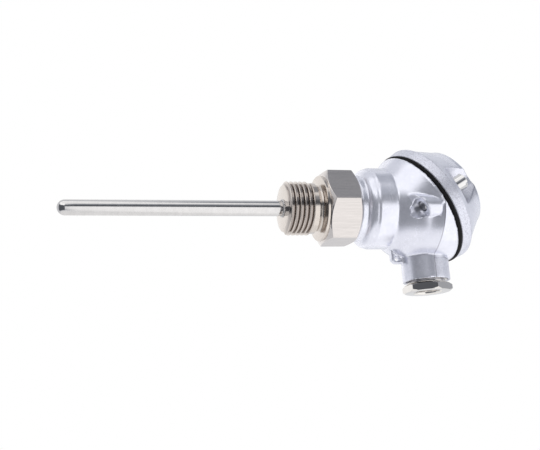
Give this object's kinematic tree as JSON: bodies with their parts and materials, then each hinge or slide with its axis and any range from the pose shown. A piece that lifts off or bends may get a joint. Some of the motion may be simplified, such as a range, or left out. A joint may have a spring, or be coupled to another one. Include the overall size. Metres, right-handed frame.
{
  "type": "rtd probe with head",
  "caption": "Slim stem with a domed tip, a threaded hexagon fitting and a small round cast head with a slanted screwed lid and a side cable gland.",
  "frame": {"origin": "centre of the hexagon's sealing face, on the probe's axis", "axes": "+Z along the probe towards the head, +X along the cable entry"},
  "size_m": [0.0575, 0.0492, 0.1652],
  "materials": {
    "stainless": "fine turned and brushed, satin",
    "cast_paint": "silver metallic paint over a cast surface",
    "lid_paint": "silver metallic paint over a cast surface",
    "black_rubber": "matt black",
    "nickel": "bright nickel plating",
    "screw_steel": "zinc plated",
    "brass": "satin",
    "ceramic_white": "unglazed ceramic",
    "epoxy": "cast resin",
    "nylon": "moulded",
    "lead_red": "insulated wire",
    "lead_white": "insulated wire"
  },
  "bodies": {
    "base": {"probe_sheath": "stainless", "rtd_element": "ceramic_white", "ceramic_insulator": "ceramic_white", "end_seal": "epoxy", "lead_1": "lead_red", "lead_2": "lead_red", "lead_3": "lead_white", "lead_4": "lead_white", "process_fitting": "stainless", "head_body": "cast_paint", "lid_gasket": "black_rubber", "terminal_block": "ceramic_white", "block_screw_front": "screw_steel", "block_screw_back": "screw_steel", "terminal_1": "brass", "terminal_2": "brass", "terminal_3": "brass", "terminal_4": "brass", "seat_washer": "nickel", "cable_seal": "black_rubber"},
    "lid_body": {"lid": "lid_paint"},
    "keeper_front": {"screw_keeper_front": "nylon"},
    "keeper_back": {"screw_keeper_back": "nylon"},
    "screw_front": {"lid_screw_front": "nickel"},
    "screw_back": {"lid_screw_back": "nickel"},
    "clamp_1": {"clamp_plate_1": "brass"},
    "clamp_screw_1": {"terminal_screw_1": "screw_steel"},
    "clamp_2": {"clamp_plate_2": "brass"},
    "clamp_screw_2": {"terminal_screw_2": "screw_steel"},
    "clamp_3": {"clamp_plate_3": "brass"},
    "clamp_screw_3": {"terminal_screw_3": "screw_steel"},
    "clamp_4": {"clamp_plate_4": "brass"},
    "clamp_screw_4": {"terminal_screw_4": "screw_steel"},
    "thrust_ring": {"thrust_washer": "nickel"},
    "gland": {"gland_nut": "nickel"}
  },
  "joints": [
    {"name": "lid_lift", "type": "slide", "parent": "base", "child": "lid_body", "axis": [-0.5, 0, 0.866], "range_m": [0, 0.03]},
    {"name": "keeper_front_rise", "type": "slide", "parent": "lid_body", "child": "keeper_front", "axis": [-0.5, 0, 0.866], "range_m": [0, 0.0034]},
    {"name": "lid_screw_front_turn", "type": "hinge", "parent": "keeper_front", "child": "screw_front", "pos_m": [0.00006, -0.0191, 0.0413], "axis": [-0.5, 0, 0.866], "range_deg": [0, 1750]},
    {"name": "keeper_back_rise", "type": "slide", "parent": "lid_body", "child": "keeper_back", "axis": [-0.5, 0, 0.866], "range_m": [0, 0.0034]},
    {"name": "lid_screw_back_turn", "type": "hinge", "parent": "keeper_back", "child": "screw_back", "pos_m": [0.00006, 0.0191, 0.0413], "axis": [-0.5, 0, 0.866], "range_deg": [0, 1750]},
    {"name": "clamp_1_rise", "type": "slide", "parent": "base", "child": "clamp_1", "axis": [0, 0, 1], "range_m": [0, 0.00145]},
    {"name": "clamp_screw_1_turn", "type": "hinge", "parent": "clamp_1", "child": "clamp_screw_1", "pos_m": [0.00679, 0.00679, 0.0403], "axis": [0, 0, 1], "range_deg": [0, 1045]},
    {"name": "clamp_2_rise", "type": "slide", "parent": "base", "child": "clamp_2", "axis": [0, 0, 1], "range_m": [0, 0.00145]},
    {"name": "clamp_screw_2_turn", "type": "hinge", "parent": "clamp_2", "child": "clamp_screw_2", "pos_m": [-0.00679, 0.00679, 0.0403], "axis": [0, 0, 1], "range_deg": [0, 1045]},
    {"name": "clamp_3_rise", "type": "slide", "parent": "base", "child": "clamp_3", "axis": [0, 0, 1], "range_m": [0, 0.00145]},
    {"name": "clamp_screw_3_turn", "type": "hinge", "parent": "clamp_3", "child": "clamp_screw_3", "pos_m": [-0.00679, -0.00679, 0.0403], "axis": [0, 0, 1], "range_deg": [0, 1045]},
    {"name": "clamp_4_rise", "type": "slide", "parent": "base", "child": "clamp_4", "axis": [0, 0, 1], "range_m": [0, 0.00145]},
    {"name": "clamp_screw_4_turn", "type": "hinge", "parent": "clamp_4", "child": "clamp_screw_4", "pos_m": [0.00679, -0.00679, 0.0403], "axis": [0, 0, 1], "range_deg": [0, 1045]},
    {"name": "thrust_ring_slide", "type": "slide", "parent": "base", "child": "thrust_ring", "axis": [1, 0, 0], "range_m": [0, 0.0031]},
    {"name": "gland_turn", "type": "hinge", "parent": "thrust_ring", "child": "gland", "pos_m": [0.03, 0, 0.0416], "axis": [1, 0, 0], "range_deg": [0, 745]}
  ],
  "couplings": [
    {"joint": "lid_screw_front_turn", "follows": "keeper_front_rise", "rad_per_m": 8976},
    {"joint": "lid_screw_back_turn", "follows": "keeper_back_rise", "rad_per_m": 8976},
    {"joint": "clamp_screw_1_turn", "follows": "clamp_1_rise", "rad_per_m": 12566},
    {"joint": "clamp_screw_2_turn", "follows": "clamp_2_rise", "rad_per_m": 12566},
    {"joint": "clamp_screw_3_turn", "follows": "clamp_3_rise", "rad_per_m": 12566},
    {"joint": "clamp_screw_4_turn", "follows": "clamp_4_rise", "rad_per_m": 12566},
    {"joint": "gland_turn", "follows": "thrust_ring_slide", "rad_per_m": 4188.8}
  ]
}
